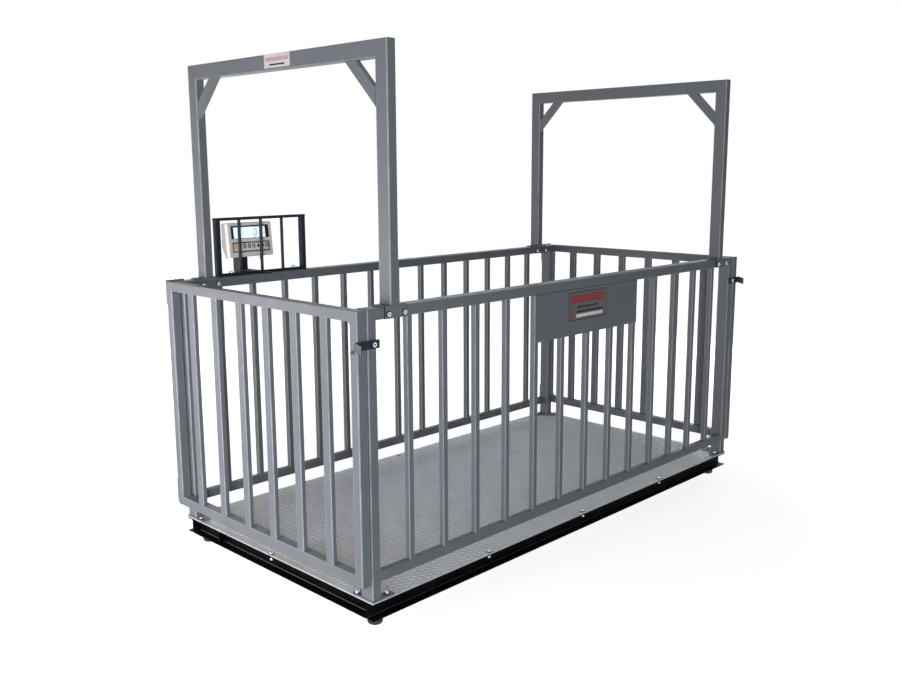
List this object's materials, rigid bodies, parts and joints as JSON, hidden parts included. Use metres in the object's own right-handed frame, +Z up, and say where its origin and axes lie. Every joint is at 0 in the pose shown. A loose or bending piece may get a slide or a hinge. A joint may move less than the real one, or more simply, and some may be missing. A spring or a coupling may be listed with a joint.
{
  "type": "livestock scale",
  "caption": "Walk-through animal scale: load-cell platform, barred cage, hinged end gates with latches, bolted arches, guarded digital indicator on a column.",
  "frame": {"origin": "on the floor under the centre of the bounding box; the deck's centre is at y = -0.07725 and its top at z = 0.115", "axes": "+X along the walk-through direction towards the gate away from the indicator, +Y across the deck towards the indicator side, +Z up"},
  "size_m": [2.6, 1.4676, 2.053],
  "materials": {
    "deck_paint": "satin grey paint on tread plate",
    "base_paint": "satin black paint",
    "cage_paint": "satin mid-grey powder coat",
    "dark_paint": "satin anthracite powder coat",
    "cell_steel": "plated alloy steel",
    "zinc": "bright zinc plate",
    "foot_rubber": "matte black",
    "box_plastic": "matte",
    "housing_plastic": "fine texture, warm grey",
    "bezel_plastic": "fine texture, cool grey",
    "window_clear": "clear with a dark printed border",
    "lcd_face": "pale backlit display",
    "keypad_film": "satin film with a dark border",
    "key_film": "satin film",
    "key_orange": "satin orange"
  },
  "bodies": {
    "frame": {"deck_plate": "deck_paint", "channel_near": "base_paint", "channel_far": "base_paint", "channel_left": "base_paint", "channel_right": "base_paint", "cross_member_left": "base_paint", "cross_member_right": "base_paint", "load_cell_near_left": "cell_steel", "load_cell_near_right": "cell_steel", "load_cell_far_left": "cell_steel", "load_cell_far_right": "cell_steel", "junction_box": "box_plastic", "junction_box_lid": "box_plastic", "post_near_left": "cage_paint", "post_near_right": "cage_paint", "post_far_left": "cage_paint", "post_far_right": "cage_paint", "panel_near": "cage_paint", "panel_far": "cage_paint", "sign_plate": "cage_paint", "arch_left_leg_near": "cage_paint", "arch_left_leg_far": "cage_paint", "arch_left_beam": "cage_paint", "arch_left_brace_near": "cage_paint", "arch_left_brace_far": "cage_paint", "arch_right_leg_near": "cage_paint", "arch_right_leg_far": "cage_paint", "arch_right_beam": "cage_paint", "arch_right_brace_near": "cage_paint", "arch_right_brace_far": "cage_paint", "hinge_pin_left_top": "zinc", "hinge_pin_left_bottom": "zinc", "hinge_pin_right_top": "zinc", "hinge_pin_right_bottom": "zinc", "latch_bolt_left": "zinc", "latch_bolt_right": "zinc", "indicator_guard": "dark_paint", "indicator_column": "dark_paint", "indicator_housing": "housing_plastic", "indicator_bezel": "bezel_plastic", "display_window": "window_clear", "display_module": "lcd_face", "keypad": "keypad_film"},
    "gate_left": {"gate_left": "cage_paint"},
    "gate_right": {"gate_right": "cage_paint"},
    "latch_left": {"latch_left": "dark_paint"},
    "latch_right": {"latch_right": "dark_paint"},
    "foot_near_left": {"foot_near_left": "foot_rubber"},
    "foot_near_right": {"foot_near_right": "foot_rubber"},
    "foot_far_left": {"foot_far_left": "foot_rubber"},
    "foot_far_right": {"foot_far_right": "foot_rubber"},
    "key_1": {"key_1": "key_orange"},
    "key_2": {"key_2": "key_film"},
    "key_3": {"key_3": "key_film"},
    "key_4": {"key_4": "key_film"},
    "key_5": {"key_5": "key_film"},
    "key_6": {"key_6": "key_film"},
    "key_7": {"key_7": "key_film"},
    "key_8": {"key_8": "key_film"}
  },
  "joints": [
    {"name": "gate_left_swing", "type": "hinge", "parent": "frame", "child": "gate_left", "pos_m": [-1.25, 0.55325, 0.6], "axis": [0, 0, -1], "range_deg": [0, 180]},
    {"name": "gate_right_swing", "type": "hinge", "parent": "frame", "child": "gate_right", "pos_m": [1.25, 0.55325, 0.6], "axis": [0, 0, 1], "range_deg": [0, 180]},
    {"name": "latch_left_lift", "type": "hinge", "parent": "frame", "child": "latch_left", "pos_m": [-1.227, -0.7055, 1.046], "axis": [0, 1, 0], "range_deg": [0, 100]},
    {"name": "latch_right_lift", "type": "hinge", "parent": "frame", "child": "latch_right", "pos_m": [1.227, -0.7055, 1.046], "axis": [0, -1, 0], "range_deg": [0, 100]},
    {"name": "foot_near_left_turn", "type": "hinge", "parent": "frame", "child": "foot_near_left", "pos_m": [-1.186, -0.63725, 0.05], "axis": [0, 0, 1], "continuous": true},
    {"name": "foot_near_right_turn", "type": "hinge", "parent": "frame", "child": "foot_near_right", "pos_m": [1.186, -0.63725, 0.05], "axis": [0, 0, 1], "continuous": true},
    {"name": "foot_far_left_turn", "type": "hinge", "parent": "frame", "child": "foot_far_left", "pos_m": [-1.186, 0.48275, 0.05], "axis": [0, 0, 1], "continuous": true},
    {"name": "foot_far_right_turn", "type": "hinge", "parent": "frame", "child": "foot_far_right", "pos_m": [1.186, 0.48275, 0.05], "axis": [0, 0, 1], "continuous": true},
    {"name": "key_1_press", "type": "slide", "parent": "frame", "child": "key_1", "axis": [0, 0.9943, -0.1063], "range_m": [0, 0.0007], "stiffness_N_per_m": 1500},
    {"name": "key_2_press", "type": "slide", "parent": "frame", "child": "key_2", "axis": [0, 0.9943, -0.1063], "range_m": [0, 0.0007], "stiffness_N_per_m": 1500},
    {"name": "key_3_press", "type": "slide", "parent": "frame", "child": "key_3", "axis": [0, 0.9943, -0.1063], "range_m": [0, 0.0007], "stiffness_N_per_m": 1500},
    {"name": "key_4_press", "type": "slide", "parent": "frame", "child": "key_4", "axis": [0, 0.9943, -0.1063], "range_m": [0, 0.0007], "stiffness_N_per_m": 1500},
    {"name": "key_5_press", "type": "slide", "parent": "frame", "child": "key_5", "axis": [0, 0.9943, -0.1063], "range_m": [0, 0.0007], "stiffness_N_per_m": 1500},
    {"name": "key_6_press", "type": "slide", "parent": "frame", "child": "key_6", "axis": [0, 0.9943, -0.1063], "range_m": [0, 0.0007], "stiffness_N_per_m": 1500},
    {"name": "key_7_press", "type": "slide", "parent": "frame", "child": "key_7", "axis": [0, 0.9943, -0.1063], "range_m": [0, 0.0007], "stiffness_N_per_m": 1500},
    {"name": "key_8_press", "type": "slide", "parent": "frame", "child": "key_8", "axis": [0, 0.9943, -0.1063], "range_m": [0, 0.0007], "stiffness_N_per_m": 1500}
  ]
}
